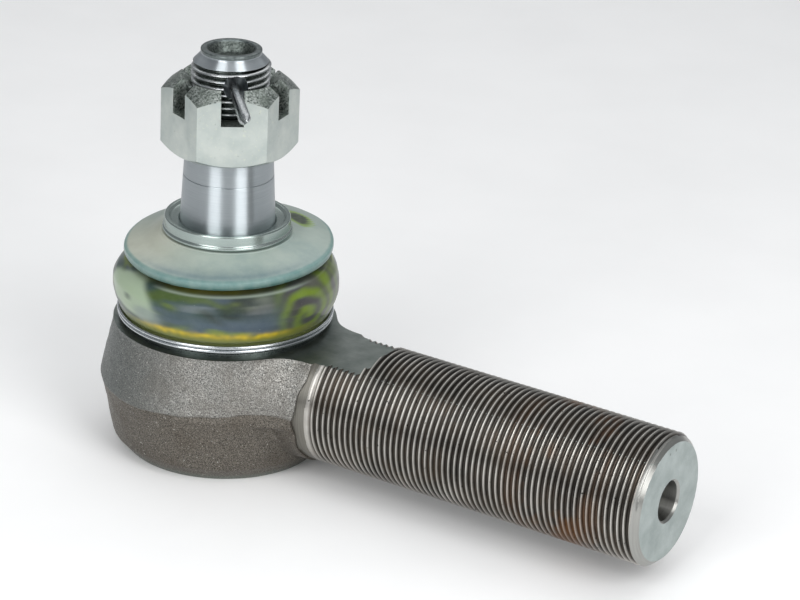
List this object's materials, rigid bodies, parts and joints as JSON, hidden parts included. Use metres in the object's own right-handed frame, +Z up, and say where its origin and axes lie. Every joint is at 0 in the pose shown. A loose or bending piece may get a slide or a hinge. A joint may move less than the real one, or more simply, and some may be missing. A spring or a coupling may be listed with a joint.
{
  "type": "tie rod end",
  "caption": "Tie rod end with a male threaded shank, a tapered ball stud in a forged socket, a translucent boot, a castle nut and a split pin.",
  "frame": {"origin": "centre of the ball, where the stud's axis crosses the shank's axis", "axes": "+Z up the stud towards the nut, +X out along the threaded shank"},
  "size_m": [0.1461, 0.058, 0.0962],
  "materials": {
    "housing_steel": "shot-blasted forging, turned thread",
    "bearing_plastic": "moulded acetal",
    "spring_steel": "phosphated spring steel",
    "cover_steel": "zinc plated pressing",
    "seal_rubber": "black nitrile",
    "boot_polyurethane": "milky translucent polyurethane with grease behind it",
    "ring_wire": "bright drawn wire",
    "collar_steel": "bright zinc plate",
    "stud_steel": "ground and polished",
    "nut_zinc": "pale zinc plate",
    "pin_steel": "drawn half-round wire"
  },
  "bodies": {
    "root": {"housing": "housing_steel", "upper_bearing_shell": "bearing_plastic", "lower_bearing_shell": "bearing_plastic", "disc_spring": "spring_steel", "cover_plate": "cover_steel", "cover_seal": "seal_rubber", "boot_clamp_ring": "ring_wire"},
    "boot_body": {"boot": "boot_polyurethane"},
    "collar_body": {"boot_collar_ring": "collar_steel"},
    "stud_body": {"ball_stud": "stud_steel", "castle_nut": "nut_zinc", "split_pin": "pin_steel"}
  },
  "joints": [
    {"name": "stud_tilt_along", "type": "hinge", "parent": "root", "child": "boot_body", "pos_m": [0, 0, 0], "axis": [0, 1, 0], "range_deg": [-16, 16], "deforming": ["boot"]},
    {"name": "stud_tilt_across", "type": "hinge", "parent": "boot_body", "child": "collar_body", "pos_m": [0, 0, 0], "axis": [1, 0, 0], "range_deg": [-16, 16], "deforming": ["boot"]},
    {"name": "stud_spin", "type": "hinge", "parent": "collar_body", "child": "stud_body", "pos_m": [0, 0, 0], "axis": [0, 0, 1], "continuous": true}
  ]
}
